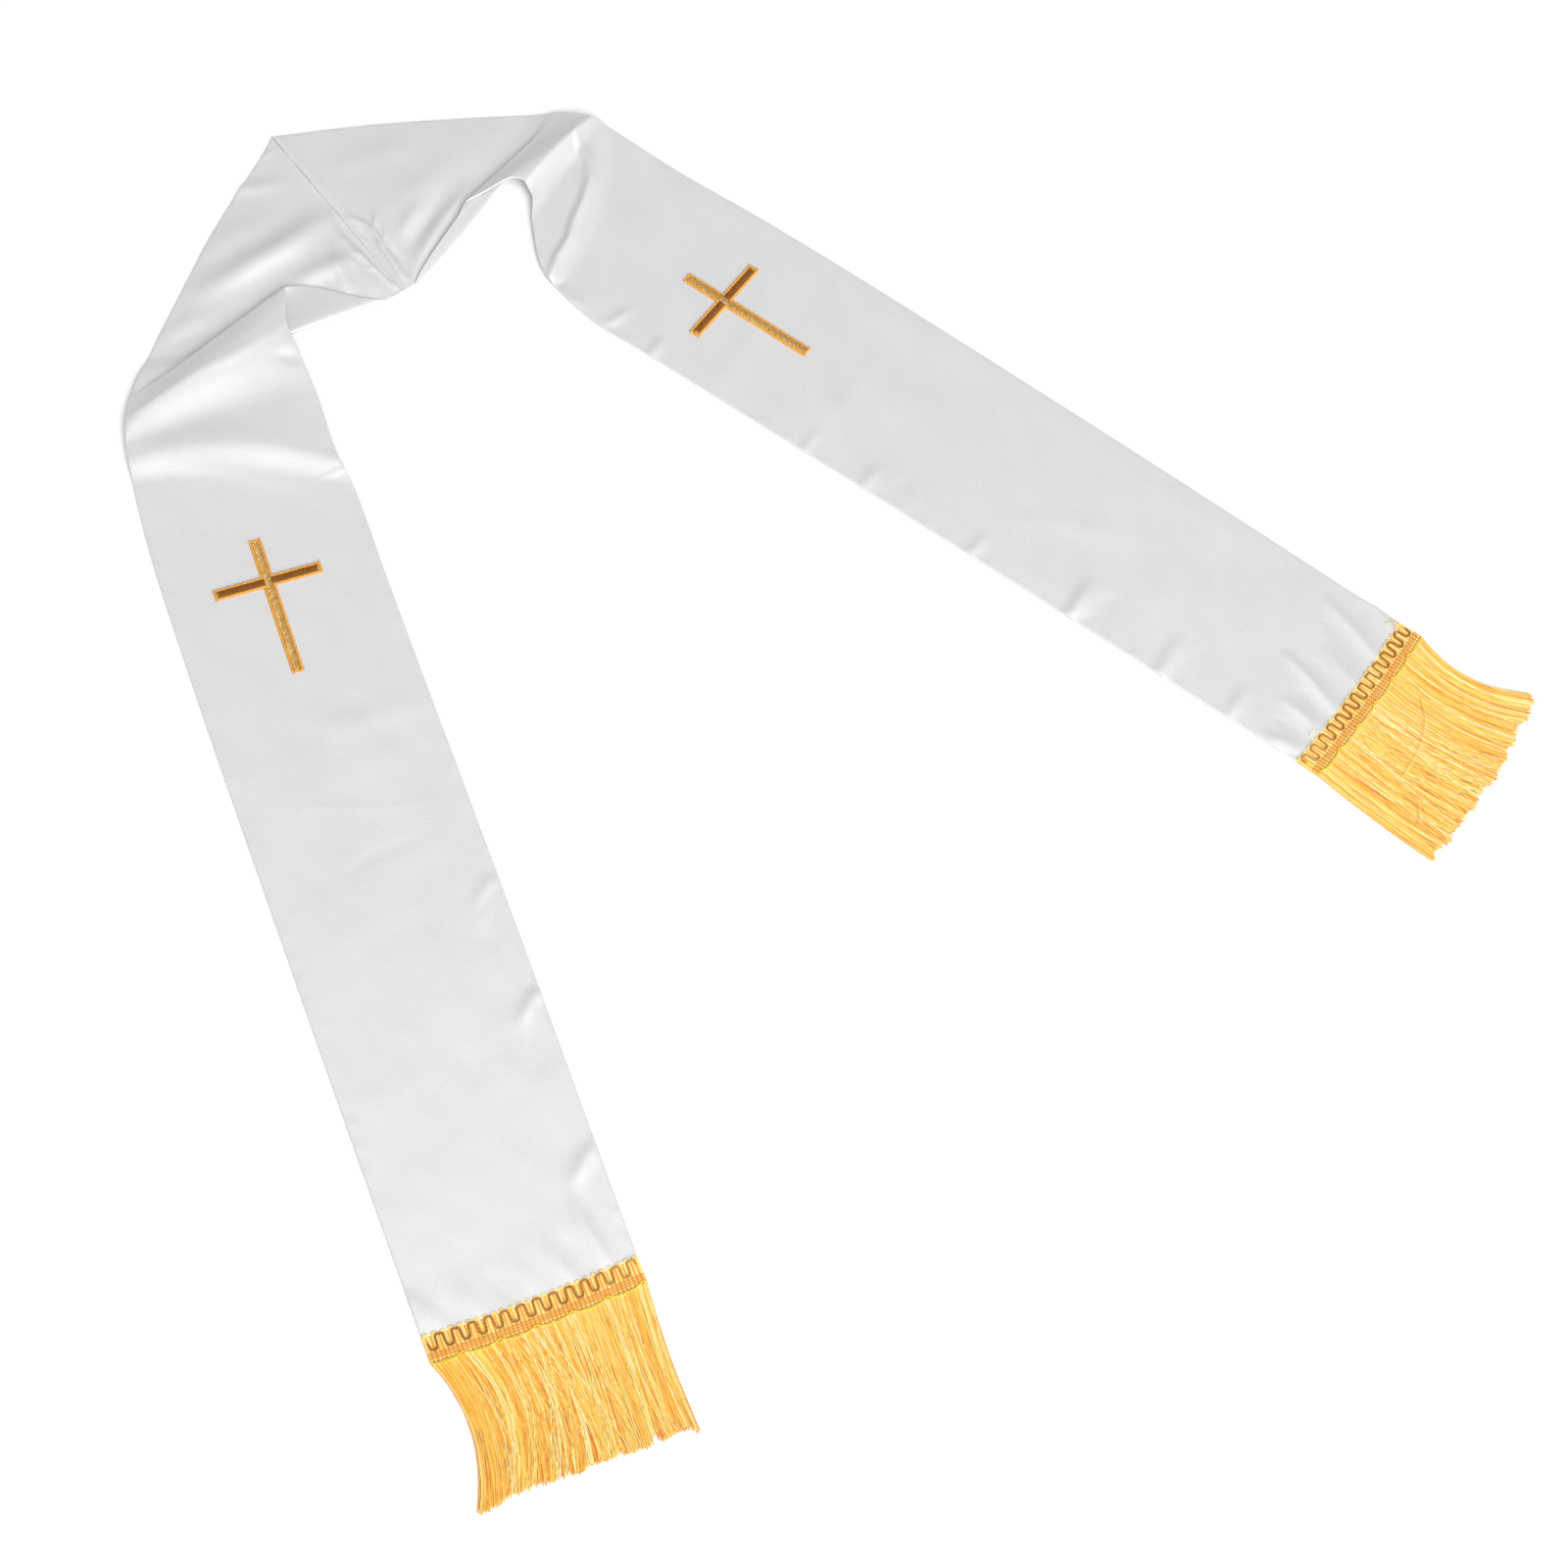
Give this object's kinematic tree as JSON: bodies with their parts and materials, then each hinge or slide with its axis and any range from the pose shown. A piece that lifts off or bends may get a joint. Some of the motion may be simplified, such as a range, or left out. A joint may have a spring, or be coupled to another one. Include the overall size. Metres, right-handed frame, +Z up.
{
  "type": "clerical stole",
  "caption": "White satin clerical stole laid flat in a V, with a gold Latin cross on each panel and a gold braid with thread fringe on each hem.",
  "frame": {"origin": "middle of the laid-out stole's outline, on the surface that it lies on", "axes": "+Z up from the surface, +Y from the hems towards the nape, +X towards the right-hand panel as seen from above with the nape up"},
  "size_m": [0.8258, 0.8628, 0.013],
  "materials": {
    "satin": "glossy white satin",
    "gold_embroidery": "metallic gold embroidery thread",
    "gold_fringe": "glossy golden-yellow rayon thread",
    "metallic_cord": "dark gold metallic cord"
  },
  "bodies": {
    "root": {"left_strip": "satin", "right_strip": "satin", "left_cross": "gold_embroidery", "right_cross": "gold_embroidery", "left_fringe": "gold_fringe", "right_fringe": "gold_fringe", "left_braid_cord": "metallic_cord", "right_braid_cord": "metallic_cord"}
  },
  "joints": []
}
